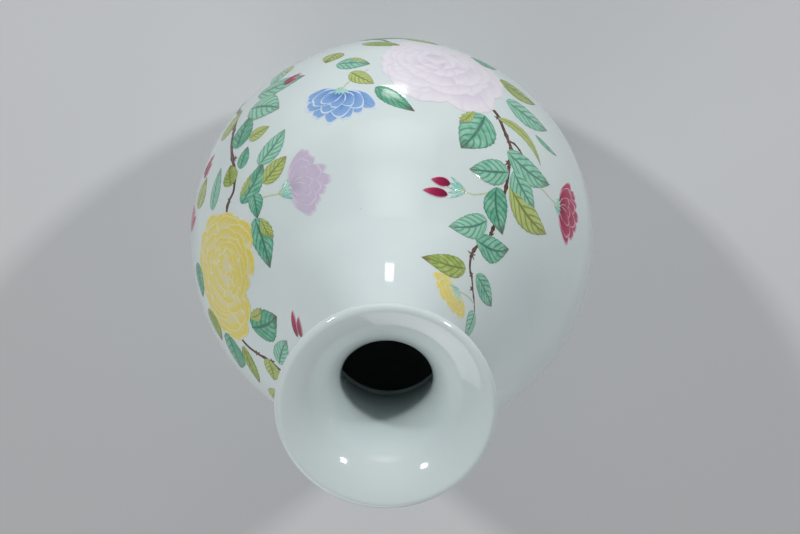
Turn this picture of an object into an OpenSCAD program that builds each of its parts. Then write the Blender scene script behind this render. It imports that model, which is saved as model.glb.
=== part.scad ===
// Yuhuchunping vase: a pear-shaped porcelain bottle with a slender neck and a trumpet mouth.
// Four clay sections are luted with slip, glazed inside and out, and painted with flowering
// branches in enamels that stand a little proud of the glaze.
// Millimetres, +Z up. The vase stands on z = 0 with its axis on the Z axis and its front at -Y.

/* [Body] */
// Height of the clay from the foot to the top of the lip
height = 280; // [272:1:292]
// Widest diameter of the belly
belly_d = 184.4; // [174:0.2:196]
// Radius of the belly's upper curve in section
belly_curve = 96; // [88:0.5:102]
// Thickness of the clay wall
wall = 4; // [3:0.1:5]
// Thickness of the clay floor
floor_t = 6; // [4:0.5:9]

/* [Neck and mouth] */
// Diameter of the neck where it is narrowest
neck_d = 45.4; // [40:0.2:52]
// Radius of the neck's hollow curve in section
neck_curve = 127.5; // [118:0.5:136]
// Diameter of the mouth over the lip
mouth_d = 86.4; // [80:0.2:94]
// Radius of the mouth's flare in section
flare_curve = 30; // [26:0.5:36]
// Drop of the joint between body and neck below the narrowest part of the neck
neck_joint_drop = 42; // [34:1:50]

/* [Foot] */
// Outer diameter of the foot ring
foot_d = 112; // [104:1:120]
// Height of the foot ring
foot_h = 9; // [7:0.5:12]
// Width of the foot ring's wall
foot_wall = 6; // [5:0.5:9]
// Rounding of the foot's rim
foot_round = 1.5; // [0.8:0.1:2]
// Bare clay between the rounded rim and the glaze
bare_edge = 0.6; // [0.3:0.1:2]

/* [Slip joints] */
// Thickness of the slip in a joint
slip_t = 0.8; // [0.5:0.1:1.5]
// Radius of the ridge that the slip leaves inside
ridge_r = 1.2; // [0.8:0.1:2]

/* [Glaze and enamel] */
// Thickness of the glaze
glaze_t = 0.3; // [0.2:0.05:0.6]
// Height of the enamel's top over the glaze
enamel_t = 0.25; // [0.15:0.05:0.4]
// Clearance between the enamel and the glaze under it
enamel_gap = 0.02; // [0.01:0.01:0.05]
// Width of the painted trunks
trunk_w = 2.6; // [2:0.1:3.4]
// Width of the painted twigs
twig_w = 1.6; // [1.2:0.1:2.4]
// Width of the painted flower stems
stem_w = 1; // [0.7:0.1:1.6]
// Width of a calyx's sepals
sepal_w = 1.7; // [1.4:0.1:2.2]
// Length of one unit of the painted rows
paint_length = 1; // [0.9:0.02:1.1]
// Bare glaze between two enamels
paint_gap = 0.3; // [0.2:0.05:0.5]

/* [Hidden] */
$fn = 180;

// Radii of the outside, and the levels over the foot
belly_r = belly_d / 2;
neck_r = neck_d / 2;
mouth_r = mouth_d / 2;
foot_r = foot_d / 2;
body_z = foot_h + slip_t;
floor_z = body_z + floor_t;
glaze_foot_z = foot_round + bare_edge;

// Mouth: the hollow arc of the flare ends in a round lip as thick as the wall
lip_r = wall / 2;
lip_in = neck_r + flare_curve - (mouth_r - lip_r);
lip_rise = sqrt((flare_curve + lip_r) ^ 2 - lip_in ^ 2);
lip_turn = atan2(lip_rise, -lip_in);
neck_z = height - lip_r - lip_rise;
flare_c = [neck_r + flare_curve, neck_z];

// Shoulder: the belly's upper arc runs smoothly into the hollow arc of the neck
two_curves = belly_curve + neck_curve;
neck_rise = sqrt(two_curves ^ 2 - (two_curves - belly_r + neck_r) ^ 2);
swing = asin(neck_rise / two_curves);
belly_z = neck_z - neck_rise;
swing_z = belly_curve * sin(swing);
neck_c = [neck_r + neck_curve, neck_z];
upper_c = [belly_r - belly_curve, belly_z];
neck_joint_z = neck_z - neck_joint_drop;

// Lower belly: an arc that is upright at the belly line and ends on the foot,
// its radius taken to the nearest hundredth
lower_rise = belly_z - body_z;
lower_in = belly_r - foot_r;
lower_R = round(50 * (lower_in ^ 2 + lower_rise ^ 2) / lower_in) / 100;
lower_c = [belly_r - lower_R, belly_z];

// Radius and tilt of the glazed outside, h over the belly line
function glaze_r(h) =
    h < 0 ? lower_c.x + sqrt((lower_R + glaze_t) ^ 2 - h ^ 2) :
    h < swing_z ? upper_c.x + sqrt((belly_curve + glaze_t) ^ 2 - h ^ 2) :
    neck_c.x - sqrt((neck_curve - glaze_t) ^ 2 - (neck_rise - h) ^ 2);
function tilt(h) =
    h < 0 ? asin(h / lower_R) :
    h < swing_z ? asin(h / belly_curve) :
    asin((neck_rise - h) / neck_curve);

// Painted rows hold degrees round from the front and height over the belly line. Then come the turn
// from upright towards the right, the length and the width, and for a leaf the bow of its rib.
// Heights, lengths, widths and bows are counted in paint units.
green_leaves = [
    [49, 51, -111, 20, 10, 1.6], [62, 56, -105, 21, 10, 2.2], [55, 44, -129, 11, 7, 0],
    [53, 32, -137, 18, 13, 0], [45, 13, -38, 23, 15, -0.9], [56, 58, 30, 12, 8, -0.7],
    [62, 65, 31, 23, 12, -1.1], [72, 40, -122, 20, 8, 0.3], [106, 70, -21, 22, 15, 1.6],
    [111, 53, 114, 22, 13, -2], [124, 75, -34, 21, 9, -0.5], [91, 33, 84, 16, 12, -0.8],
    [42, 4, -67, 27, 12, 2], [17, 15, -70, 16, 10, -0.3], [6, 38, -49, 22, 8, 0.9],
    [-21, -7, -101, 14, 10, 2], [-33, 23, -102, 25, 13, 2.6], [-45, 30, -102, 15, 4, 0.8],
    [-28, 41, 12, 24, 17, -1.3], [-39, 51, -105, 27, 12, 3.2], [-44, 56, -77, 19, 12, 1.7],
    [-43, 58, 54, 19, 12, -0.9], [-42, 66, -47, 20, 12, 2.2], [-47, 77, 38, 20, 11, -2],
    [-48, 86, -129, 20, 11, 2.6], [-61, 96, -103, 18, 9, 0.7], [-79, 105, -32, 14, 9, -0.5],
    [141, 78, -40, 18, 12, 1.5], [157, 75, 150, 22, 11, -2], [166, 85, 30, 20, 12, 1],
    [172, 66, 100, 20, 10, -1.5], [10, -22, -110, 20, 10, 1.5], [27, -30, 95, 17, 9, -1],
    [4, -36, -150, 20, 10, 1.5], [33, -14, 20, 20, 11, -1], [54, -16, 120, 20, 9, 1.5],
    [40, -33, 160, 19, 9, -1.5]
];
lime_leaves = [
    [61, 45, -151, 11, 10, -0.3], [51, 59, -100, 16, 9, 0.3], [48, 34, -72, 12, 7, 0.3],
    [77, 22, -100, 15, 12, 0.7], [104, 41, 86, 16, 12, -0.6], [115, 61, 114, 24, 7, -1],
    [121, 71, 123, 14, 8, -1.1], [13, 25, -41, 15, 8, 0.7], [10, -8, -67, 20, 8, -0.4],
    [16, 1, 37, 11, 10, 0.6], [-30, 7, -100, 21, 12, 2.6], [-32, 38, -80, 28, 5, -1.8],
    [-46, 62, -97, 29, 12, 4], [-53, 99, 59, 22, 11, -2.2], [58, 10, -112, 17, 12, -0.5],
    [137, 62, 170, 15, 7, 1], [153, 88, -20, 17, 8, -1], [181, 80, 60, 17, 8, 1],
    [-2, -24, -60, 18, 8, 1], [36, -38, -170, 17, 8, -1]
];
// Brush lines: the points of each in turn
trunks = [
    [[29, -75], [30, -62], [33, -50], [40, -37], [47, -23], [51, -10], [50, 2], [52, 16]],
    [[30, -60], [25, -49], [16, -38], [11, -28]]
];
twigs = [
    [[52, 16], [54, 24], [56, 35], [57, 41], [61, 48], [66, 49], [70, 52]],
    [[11, -28], [5, -16], [2, -6]],
    [[108, 60], [114, 63], [118, 67], [122, 71], [127, 73], [134, 74], [146, 77], [161, 80], [178, 82]],
    [[-30, 35], [-32, 37], [-35, 42], [-38, 46], [-40, 49], [-42, 56], [-45, 63], [-48, 70], [-51, 76],
     [-53, 81], [-51, 86], [-51, 92], [-55, 97], [-60, 99], [-67, 102], [-75, 104], [-80, 105]],
    [[-38, 46], [-40, 45], [-43, 46], [-46, 48]]
];
stems = [
    [[58, 61], [54, 63], [51, 65], [48, 67]], [[-42, 68], [-40, 70], [-36, 73], [-32, 74]],
    [[-53, 52], [-57, 50], [-60, 49], [-64, 47]], [[-75, 104], [-68, 106], [-59, 110]],
    [[149, 78], [150, 72], [151, 67]], [[8, 25], [13, 31], [16, 36]]
];
// Full flowers have rows of petals round an oval, width before height
full_yellow = [[89, 56, 0, 64, 46]];
full_pink = [[-13, 18, 0, 63, 60]];
// Side-on flowers open as a fan from their calyx: length, then degrees to either side
side_yellow = [[-56, 112, 4, 13, 74]];
side_lilac = [[42, 68, -70, 18, 66]];
side_blue = [[16, 38, 27, 18, 72]];
side_ruby = [[-65, 46, -134, 18, 58], [86, 13, -100, 13, 50], [153, 62, 165, 14, 55]];
ruby_buds = [
    [-25, 76, 82, 11, 7.5], [33, 12.5, -92, 9, 5], [103, 101, -102, 11, 4.5], [69, 13.5, -82, 11, 6]
];
calyxes = [
    [48, 67, -71, 7, 12], [16, 35, 20, 5, 11], [-32, 74, 74, 8, 12], [-63, 48, -138, 5, 11],
    [-58, 110, 8, 5, 12], [151, 67, 165, 6, 11]
];

// Painted units from the belly line down to the foot ring
lower_units = 76.35;
// Depth of a painted outline's cut through the enamel, either way from the surface
brush_reach = 9;
// Petals of a side-on flower, and how far each covers the next
fan_petals = 7;
fan_cover = 1.5;
// Petals round a full flower, and their radius as a share of its mean width
rim_petals = 13;
rim_share = 1 / 7;
// Sepals of a calyx, and its round base as a share of its width
calyx_sepals = 5;
cup_share = 0.25;
// Lean of each of a bud's two petals, and the shorter one as a share of the longer
bud_lean = 4;
bud_share = 0.78;

// Larger than the vase, for cuts that run right across it
far = 2 * height;

// Moves by whole millimetres, then thousandths, then the rest, so that arcs meet to the last digit
module shift(by) {
    whole = [floor(by.x), floor(by.y)];
    fine = [floor(1000 * (by.x - whole.x)), floor(1000 * (by.y - whole.y))] / 1000;
    translate(whole)
        translate(fine)
            translate(by - whole - fine)
                children();
}

// Half-planes of the section, right of the axis
module above(z) {
    shift([0, z])
        square([far, far]);
}
module below(z) {
    shift([0, z])
        translate([0, -far])
            square([far, far]);
}

// Section of all that lies inside the clay's outside moved outwards by d
module inside(d) {
    swing_at = belly_z + (belly_curve + d) * sin(swing);
    intersection() {
        shift(lower_c)
            circle(lower_R + d);
        above(body_z);
        below(belly_z);
    }
    intersection() {
        shift(upper_c)
            circle(belly_curve + d);
        above(belly_z);
        below(swing_at);
    }
    difference() {
        intersection() {
            square([neck_c.x, far]);
            above(swing_at);
            below(neck_z);
        }
        shift(neck_c)
            circle(neck_curve - d);
    }
    difference() {
        intersection() {
            square([flare_c.x, far]);
            above(neck_z);
        }
        shift(flare_c)
            circle(flare_curve - d);
    }
}

// Cuts its children off where the wall ends and the round of the lip begins
module up_to_lip() {
    intersection() {
        children();
        union() {
            below(neck_z);
            shift(flare_c)
                rotate(lip_turn)
                    square(far);
        }
    }
}

// Layer between two distances outwards from the clay's outside
module layer(d0, d1) {
    up_to_lip()
        difference() {
            inside(d1);
            inside(d0);
        }
}

// Places its children at the centre of the lip, x inwards and y back along the wall
module at_lip() {
    shift(flare_c)
        rotate(lip_turn)
            translate([flare_curve + lip_r, 0])
                children();
}

// Quarter of a ring of glaze round the lip, from an angle
module lip_glaze(from) {
    at_lip()
        intersection() {
            difference() {
                circle(lip_r + glaze_t);
                circle(lip_r);
            }
            rotate(from)
                square(wall);
        }
}

// Clay wall between two levels
module clay_band(z0, z1) {
    intersection() {
        layer(-wall, 0);
        above(z0);
        below(z1);
    }
}

// Bead of slip on the inside of the wall at a joint
module ridge(inner) {
    intersection() {
        shift(inner)
            circle(ridge_r);
        inside(-wall);
    }
}

// Section of the hollow, drawn in by d from the clay and from the ridges of slip
module hollow(d) {
    difference() {
        intersection() {
            inside(-wall - d);
            above(floor_z + d);
        }
        for (inner = [belly_ridge, neck_ridge])
            shift(inner)
                circle(ridge_r + d);
    }
}

belly_ridge = [belly_r - wall, belly_z];
neck_ridge = [neck_c.x - sqrt((neck_curve + wall) ^ 2 - neck_joint_drop ^ 2), neck_joint_z];

module foot_ring() {
    color("#EDE6DA")
        rotate_extrude()
            translate([foot_r - foot_wall, 0]) {
                translate([0, foot_round])
                    square([foot_wall, foot_h - foot_round]);
                translate([foot_round, 0])
                    square([foot_wall - 2 * foot_round, foot_h]);
                for (x = [foot_round, foot_wall - foot_round])
                    translate([x, foot_round])
                        circle(foot_round);
            }
}

module foot_slip_joint() {
    color("#E4DCCE")
        rotate_extrude()
            translate([foot_r - foot_wall, foot_h])
                square([foot_wall, slip_t]);
}

module lower_body() {
    color("#EEEAE2")
        rotate_extrude() {
            clay_band(body_z, belly_z - slip_t / 2);
            intersection() {
                inside(0);
                below(floor_z);
            }
        }
}

module belly_slip_joint() {
    color("#E4DCCE")
        rotate_extrude() {
            clay_band(belly_z - slip_t / 2, belly_z + slip_t / 2);
            ridge(belly_ridge);
        }
}

module upper_body() {
    color("#EEEAE2")
        rotate_extrude()
            clay_band(belly_z + slip_t / 2, neck_joint_z - slip_t / 2);
}

module neck_slip_joint() {
    color("#E4DCCE")
        rotate_extrude() {
            clay_band(neck_joint_z - slip_t / 2, neck_joint_z + slip_t / 2);
            ridge(neck_ridge);
        }
}

module neck() {
    color("#EEEAE2")
        rotate_extrude() {
            clay_band(neck_joint_z + slip_t / 2, far);
            at_lip()
                circle(lip_r);
        }
}

module outer_glaze() {
    color("#D9E4E4")
        rotate_extrude() {
            layer(0, glaze_t);
            lip_glaze(180);
            translate([foot_r, glaze_foot_z])
                square([glaze_t, body_z - glaze_foot_z]);
        }
}

// The inner coat lies on the floor and the wall, and runs over the ridges of slip
module inner_glaze() {
    color("#DCE6E6")
        rotate_extrude() {
            up_to_lip()
                difference() {
                    hollow(0);
                    hollow(glaze_t);
                }
            lip_glaze(-90);
        }
}

// Roof and wall of the recess inside the foot ring
module base_glaze() {
    recess_r = foot_r - foot_wall;
    color("#DCE6E6")
        rotate_extrude() {
            translate([0, body_z - glaze_t])
                square([recess_r, glaze_t]);
            translate([recess_r - glaze_t, glaze_foot_z])
                square([glaze_t, body_z - glaze_foot_z]);
        }
}

// Leaf or sepal: two arcs from its stalk at the origin to its tip, both drawn over by the bow
module leaf_shape(length, width, bow, grow) {
    translate([0, -grow])
        intersection_for (side = [-1, 1]) {
            bulge = width / 2 + side * bow + grow;
            edge_R = ((length / 2 + grow) ^ 2 + bulge ^ 2) / (2 * bulge);
            translate([side * (bulge - edge_R), length / 2 + grow])
                circle(edge_R);
        }
}

// Part of a brush line: a stroke with round ends
module stroke_shape(length, width, grow) {
    translate([-width / 2 - grow, 0])
        square([width + 2 * grow, length]);
    for (y = [0, length])
        translate([0, y])
            circle(d = width + 2 * grow);
}

// Petal of a side-on flower: narrow at the calyx and round at the tip
module petal_shape(length, width, grow) {
    petal_r = width / 2 + grow;
    shoulder = length - width / 2;
    translate([0, shoulder])
        circle(petal_r);
    polygon([[0, -grow], [petal_r, shoulder], [-petal_r, shoulder]]);
}

// Side-on flower: petals of one length, fanned out to either side of upright
module fan_shape(length, spread, grow) {
    petal_w = fan_cover * length * 2 * sin(spread / fan_petals);
    for (i = [0 : fan_petals - 1])
        rotate(spread * (1 - 2 * i / (fan_petals - 1)))
            petal_shape(length, petal_w, grow);
}

// Full flower: a ring of petal tips round an oval heart
module full_shape(width, depth, grow) {
    petal_r = rim_share * (width + depth) / 2;
    for (i = [0 : rim_petals - 1]) {
        a = 360 * i / rim_petals;
        translate([(width / 2 - petal_r) * cos(a), (depth / 2 - petal_r) * sin(a)])
            circle(petal_r + grow);
    }
    for (side = [-1, 1])
        translate([side * (width - depth) / 2, 0])
            circle(depth / 2 - petal_r);
}

// Bud: two furled petals side by side, one of them shorter
module bud_shape(length, width, grow) {
    for (side = [-1, 1])
        translate([side * width / 4, 0])
            rotate(-side * bud_lean)
                leaf_shape(length * (side < 0 ? 1 : bud_share), width / 2, 0, grow);
}

// Calyx: narrow sepals that spread from a round base as far as the width
module calyx_shape(length, width, grow) {
    spread = atan2(width / 2, length);
    circle(d = cup_share * width + 2 * grow);
    for (i = [0 : calyx_sepals - 1])
        rotate(spread * (1 - 2 * i / (calyx_sepals - 1)))
            leaf_shape(length, sepal_w, 0, grow);
}

// Stands its children on the glaze, facing outwards
module on_glaze(round_deg, h, turn) {
    rotate([0, 0, round_deg])
        translate([0, -glaze_r(h), belly_z + h])
            rotate([90 - tilt(h), 0, 0])
                rotate([0, 0, -turn])
                    children();
}

// Outline of the children, driven through the surface at a row's place
module brush(row) {
    on_glaze(row[0], level(row[1]), row[2])
        translate([0, 0, -brush_reach])
            linear_extrude(2 * brush_reach)
                children();
}

// Height of a painted place over the belly line: below it, the painting follows the lower belly
function level(units) = units < 0 ? units * lower_rise / lower_units : units * paint_length;

// Point of the glazed outside from the belly line's centre, and the ways east and up the surface there
function glaze_point(p) = let (h = level(p[1]), r = glaze_r(h)) [r * sin(p[0]), -r * cos(p[0]), h];
function eastwards(p) = [cos(p[0]), sin(p[0]), 0];
function upwards(p) =
    let (t = tilt(level(p[1]))) [-sin(t) * sin(p[0]), sin(t) * cos(p[0]), cos(t)];

// Strokes that join the points of brush lines
module lines(rows, width, grow) {
    for (points = rows, i = [1 : len(points) - 1]) {
        from = points[i - 1];
        way = glaze_point(points[i]) - glaze_point(from);
        east = way * eastwards(from);
        up = way * upwards(from);
        brush([from[0], from[1], atan2(east, up)])
            stroke_shape(norm([east, up]), width, grow);
    }
}
module leaves(rows, grow) {
    for (row = rows)
        brush(row)
            leaf_shape(row[3] * paint_length, row[4] * paint_length, row[5] * paint_length, grow);
}
module full_flowers(rows, grow) {
    for (row = rows)
        brush(row)
            full_shape(row[3] * paint_length, row[4] * paint_length, grow);
}
module side_flowers(rows, grow) {
    for (row = rows)
        brush(row)
            fan_shape(row[3] * paint_length, row[4], grow);
}
module buds(rows, grow) {
    for (row = rows)
        brush(row)
            bud_shape(row[3] * paint_length, row[4] * paint_length, grow);
}
module calyx_cups(grow) {
    for (row = calyxes)
        brush(row)
            calyx_shape(row[3] * paint_length, row[4] * paint_length, grow);
}
module flowers(grow) {
    full_flowers(concat(full_yellow, full_pink), grow);
    side_flowers(concat(side_yellow, side_lilac, side_blue, side_ruby), grow);
    buds(ruby_buds, grow);
}

// Enamel on the glaze, wherever the first child reaches through it and the others don't
module enamel() {
    difference() {
        intersection() {
            rotate_extrude()
                layer(glaze_t + enamel_gap, glaze_t + enamel_t);
            children(0);
        }
        if ($children > 1)
            children([1 : $children - 1]);
    }
}

// Each enamel stops short of those painted over it: lines lie lowest, then green and lime leaves,
// flowers and calyxes
module branch_enamel() {
    color("#6B4636")
        enamel() {
            union() {
                lines(trunks, trunk_w, 0);
                lines(twigs, twig_w, 0);
            }
            lines(stems, stem_w, paint_gap);
            leaves(green_leaves, paint_gap);
            leaves(lime_leaves, paint_gap);
            flowers(paint_gap);
            calyx_cups(paint_gap);
        }
}

module stem_enamel() {
    color("#A9B98A")
        enamel() {
            lines(stems, stem_w, 0);
            leaves(green_leaves, paint_gap);
            leaves(lime_leaves, paint_gap);
            flowers(paint_gap);
            calyx_cups(paint_gap);
        }
}

module green_leaf_enamel() {
    color("#4F9E7E")
        enamel() {
            leaves(green_leaves, 0);
            leaves(lime_leaves, paint_gap);
            flowers(paint_gap);
            calyx_cups(paint_gap);
        }
}

module lime_leaf_enamel() {
    color("#9DB35A")
        enamel() {
            leaves(lime_leaves, 0);
            flowers(paint_gap);
            calyx_cups(paint_gap);
        }
}

module calyx_enamel() {
    color("#9FD3C6")
        enamel()
            calyx_cups(0);
}

module yellow_flower_enamel() {
    color("#E3D45C")
        enamel() {
            union() {
                full_flowers(full_yellow, 0);
                side_flowers(side_yellow, 0);
            }
            calyx_cups(paint_gap);
        }
}

module pink_flower_enamel() {
    color("#E6DCE6")
        enamel()
            full_flowers(full_pink, 0);
}

module lilac_flower_enamel() {
    color("#C9BCD3")
        enamel() {
            side_flowers(side_lilac, 0);
            calyx_cups(paint_gap);
        }
}

module blue_flower_enamel() {
    color("#4F7FC4")
        enamel() {
            side_flowers(side_blue, 0);
            calyx_cups(paint_gap);
        }
}

module ruby_flower_enamel() {
    color("#A8234F")
        enamel() {
            union() {
                side_flowers(side_ruby, 0);
                buds(ruby_buds, 0);
            }
            calyx_cups(paint_gap);
        }
}

foot_ring();
foot_slip_joint();
lower_body();
belly_slip_joint();
upper_body();
neck_slip_joint();
neck();
outer_glaze();
inner_glaze();
base_glaze();
branch_enamel();
stem_enamel();
green_leaf_enamel();
lime_leaf_enamel();
calyx_enamel();
yellow_flower_enamel();
pink_flower_enamel();
lilac_flower_enamel();
blue_flower_enamel();
ruby_flower_enamel();
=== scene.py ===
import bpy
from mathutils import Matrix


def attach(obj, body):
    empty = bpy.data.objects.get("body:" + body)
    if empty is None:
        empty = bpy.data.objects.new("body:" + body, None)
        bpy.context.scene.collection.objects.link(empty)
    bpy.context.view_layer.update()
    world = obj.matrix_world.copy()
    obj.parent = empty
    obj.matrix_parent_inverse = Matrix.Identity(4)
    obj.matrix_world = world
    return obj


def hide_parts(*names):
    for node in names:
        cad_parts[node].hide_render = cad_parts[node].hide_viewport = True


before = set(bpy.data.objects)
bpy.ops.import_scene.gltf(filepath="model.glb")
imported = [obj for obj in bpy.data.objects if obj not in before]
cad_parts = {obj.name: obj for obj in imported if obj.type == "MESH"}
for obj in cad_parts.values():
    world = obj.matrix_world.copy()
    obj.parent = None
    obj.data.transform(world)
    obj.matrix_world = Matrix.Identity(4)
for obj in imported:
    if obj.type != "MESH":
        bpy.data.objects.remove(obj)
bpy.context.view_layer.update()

import math
import random

import bpy
from mathutils import Matrix, Vector

# A porcelain bottle vase, glazed white and painted with flowering branches in enamels.
# Shapes are worked out in millimetres and turned to metres where they are placed.
MM = 0.001

# Sizes of the fired body
HEIGHT = 280
BELLY_R = 92.2
BELLY_CURVE = 96
NECK_R = 22.7
NECK_CURVE = 127.5
MOUTH_R = 43.2
FLARE_CURVE = 30
WALL = 4
FLOOR = 6
FOOT_R = 56
FOOT_H = 9
FOOT_WALL = 6
FOOT_ROUND = 1.5
BARE_EDGE = 0.6

# Slip joints, with the ridge that each leaves inside and the glaze softens
SLIP = 0.8
SLIP_RIDGE = 1.2
RIDGE_SPREAD = 4
NECK_JOINT_DROP = 42

# Glaze: its thickness, the height of its rolled edge and how far that edge's hidden side lies in the clay,
# then the reach of the pool in the hollow over the foot, and the level of its corner
GLAZE = 0.3
GLAZE_ROLL = 0.4
GLAZE_SUNK = 0.1
POOL = 2.5
POOL_CORNER = 0.2

# Levels and centres of the arcs that make the section
LIP_R = WALL / 2
LIP_IN = NECK_R + FLARE_CURVE - (MOUTH_R - LIP_R)
LIP_RISE = math.sqrt((FLARE_CURVE + LIP_R) ** 2 - LIP_IN ** 2)
LIP_TURN = math.degrees(math.atan2(LIP_RISE, -LIP_IN))
NECK_Z = HEIGHT - LIP_R - LIP_RISE
TWO_CURVES = BELLY_CURVE + NECK_CURVE
NECK_RISE = math.sqrt(TWO_CURVES ** 2 - (TWO_CURVES - BELLY_R + NECK_R) ** 2)
SWING = math.degrees(math.asin(NECK_RISE / TWO_CURVES))
BELLY_Z = NECK_Z - NECK_RISE
BODY_Z = FOOT_H + SLIP
FLOOR_Z = BODY_Z + FLOOR
FOOT_IN = BELLY_R - FOOT_R
LOWER_CURVE = (FOOT_IN ** 2 + (BELLY_Z - BODY_Z) ** 2) / (2 * FOOT_IN)
LOWER_C = (BELLY_R - LOWER_CURVE, BELLY_Z)
UPPER_C = (BELLY_R - BELLY_CURVE, BELLY_Z)
NECK_C = (NECK_R + NECK_CURVE, NECK_Z)
FLARE_C = (NECK_R + FLARE_CURVE, NECK_Z)
LIP_C = (
    FLARE_C[0] + (FLARE_CURVE + LIP_R) * math.cos(math.radians(LIP_TURN)),
    FLARE_C[1] + (FLARE_CURVE + LIP_R) * math.sin(math.radians(LIP_TURN)),
)
GLAZE_FOOT_Z = FOOT_ROUND + BARE_EDGE

# Fineness of the turned surfaces: steps round the axis, millimetres along the section, steps over the pool
TURN_STEPS = 224
FINE_STEP = 2.2
COARSE_STEP = 9
LIP_STEP = 0.25
LIP_COARSE_STEP = 0.6
FOOT_STEP = 0.3
NECK_RIDGE_STEP = 0.3
BELLY_RIDGE_STEP = 0.4
POOL_STEPS = 7
# Degrees of an arc to either side of a ridge that are stepped finely
RIDGE_TURN = 3
# Metres within which points are one, or an edge has no length
SAME_POINT = 2e-6
NO_LENGTH = 1e-6
# Edges that turn by less than these degrees are smooth
SMOOTH_TURNED = 35
SMOOTH_STROKE = 40


def arc(centre, radius, start, end, step):
    """Points round a centre from one angle to another in degrees, about step mm apart."""
    count = max(3, math.ceil(math.radians(abs(end - start)) * radius / step))
    angles = [math.radians(start + (end - start) * i / count) for i in range(count + 1)]
    return [(centre[0] + radius * math.cos(a), centre[1] + radius * math.sin(a)) for a in angles]


def wall_line(d, bottom, step):
    """The clay's outside moved out by d, from a level near the foot up to the lip."""
    low = -math.degrees(math.asin((BELLY_Z - bottom) / (LOWER_CURVE + d)))
    return (
        arc(LOWER_C, LOWER_CURVE + d, low, 0, step)
        + arc(UPPER_C, BELLY_CURVE + d, 0, SWING, step)[1:]
        + arc(NECK_C, NECK_CURVE - d, 180 + SWING, 180, step)[1:]
        + arc(FLARE_C, FLARE_CURVE - d, 180, LIP_TURN, step / 2)[1:]
    )


def turned(name, loop):
    """A closed ring of (radius, level) points, turned about the vase's axis."""
    bpy.ops.object.select_all(action="DESELECT")
    bpy.ops.mesh.primitive_circle_add(vertices=len(loop))
    piece = bpy.context.active_object
    piece.name = name
    for vertex, (r, z) in zip(piece.data.vertices, loop):
        vertex.co = (0, -r * MM, z * MM)
    bpy.ops.object.mode_set(mode="EDIT")
    bpy.ops.mesh.select_all(action="SELECT")
    bpy.ops.mesh.spin(steps=TURN_STEPS, angle=2 * math.pi, center=(0, 0, 0), axis=(0, 0, 1))
    bpy.ops.mesh.select_all(action="SELECT")
    bpy.ops.mesh.remove_doubles(threshold=SAME_POINT)
    bpy.ops.mesh.dissolve_degenerate(threshold=NO_LENGTH)
    bpy.ops.mesh.select_all(action="SELECT")
    bpy.ops.mesh.normals_make_consistent(inside=False)
    bpy.ops.object.mode_set(mode="OBJECT")
    bpy.ops.object.shade_smooth_by_angle(angle=math.radians(SMOOTH_TURNED))
    return piece


# Glaze and foot


def outer_glaze():
    """The coat over the outside, from its rolled edge above the bare foot to the crest of the lip."""
    edge = [
        (FOOT_R - GLAZE_SUNK, GLAZE_FOOT_Z),
        (FOOT_R + 0.6 * GLAZE, GLAZE_FOOT_Z + GLAZE_ROLL / 8),
        (FOOT_R + GLAZE, GLAZE_FOOT_Z + GLAZE_ROLL),
    ]
    top = wall_line(GLAZE, BODY_Z + POOL, FINE_STEP)
    start, corner = (FOOT_R + GLAZE, BODY_Z - POOL), (FOOT_R + GLAZE, BODY_Z + POOL_CORNER)
    pooled = []
    for i in range(POOL_STEPS):
        t = i / POOL_STEPS
        ways = zip(start, corner, top[0])
        pooled.append(tuple((1 - t) ** 2 * a + 2 * t * (1 - t) * b + t * t * c for a, b, c in ways))
    crest = arc(LIP_C, LIP_R + GLAZE, LIP_TURN - 180, LIP_TURN - 90, LIP_STEP)[1:]
    under = arc(LIP_C, LIP_R, LIP_TURN - 90, LIP_TURN - 180, LIP_COARSE_STEP)
    under += wall_line(0, BODY_Z, COARSE_STEP)[-2::-1] + [(FOOT_R - GLAZE_SUNK, BODY_Z)]
    return turned("outer_glaze_coat", edge + pooled + top + crest + under)


def over_ridges(line):
    """The inside of the wall, drawn in softly where the slip leaves a ridge."""
    moved = []
    for r, z in line:
        for ridge_z in (BELLY_Z, NECK_Z - NECK_JOINT_DROP):
            away = min(abs(z - ridge_z) / RIDGE_SPREAD, 1)
            r -= SLIP_RIDGE * math.cos(math.pi / 2 * away) ** 2
        moved.append((r, z))
    return moved


def hollow_line(d, step):
    """The clay's inside moved in by d, from the lip down to the floor."""
    low = -math.degrees(math.asin((BELLY_Z - FLOOR_Z - d) / (LOWER_CURVE - WALL - d)))
    joint = 180 + math.degrees(math.asin(NECK_JOINT_DROP / (NECK_CURVE + WALL)))
    flare, neck = FLARE_CURVE + WALL + d, NECK_CURVE + WALL + d
    upper, lower = BELLY_CURVE - WALL - d, LOWER_CURVE - WALL - d
    return over_ridges(
        arc(FLARE_C, flare, LIP_TURN, 180, step / 2)
        + arc(NECK_C, neck, 180, joint - RIDGE_TURN, step)[1:]
        + arc(NECK_C, neck, joint - RIDGE_TURN, joint + RIDGE_TURN, NECK_RIDGE_STEP)[1:]
        + arc(NECK_C, neck, joint + RIDGE_TURN, 180 + SWING, step)[1:]
        + arc(UPPER_C, upper, SWING, RIDGE_TURN, step)[1:]
        + arc(UPPER_C, upper, RIDGE_TURN, 0, BELLY_RIDGE_STEP)[1:]
        + arc(LOWER_C, lower, 0, -RIDGE_TURN, BELLY_RIDGE_STEP)[1:]
        + arc(LOWER_C, lower, -RIDGE_TURN, low, step)[1:]
    )


def inner_glaze():
    """The coat over the inside, from the crest of the lip to the floor, soft over the ridges of slip."""
    crest = arc(LIP_C, LIP_R + GLAZE, LIP_TURN - 90, LIP_TURN, LIP_STEP)[:-1]
    middle = [(0, FLOOR_Z + GLAZE), (0, FLOOR_Z)]
    under = hollow_line(0, COARSE_STEP)[::-1]
    under += arc(LIP_C, LIP_R, LIP_TURN, LIP_TURN - 90, LIP_COARSE_STEP)[1:]
    return turned("inner_glaze_coat", crest + hollow_line(GLAZE, FINE_STEP) + middle + under)


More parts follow.
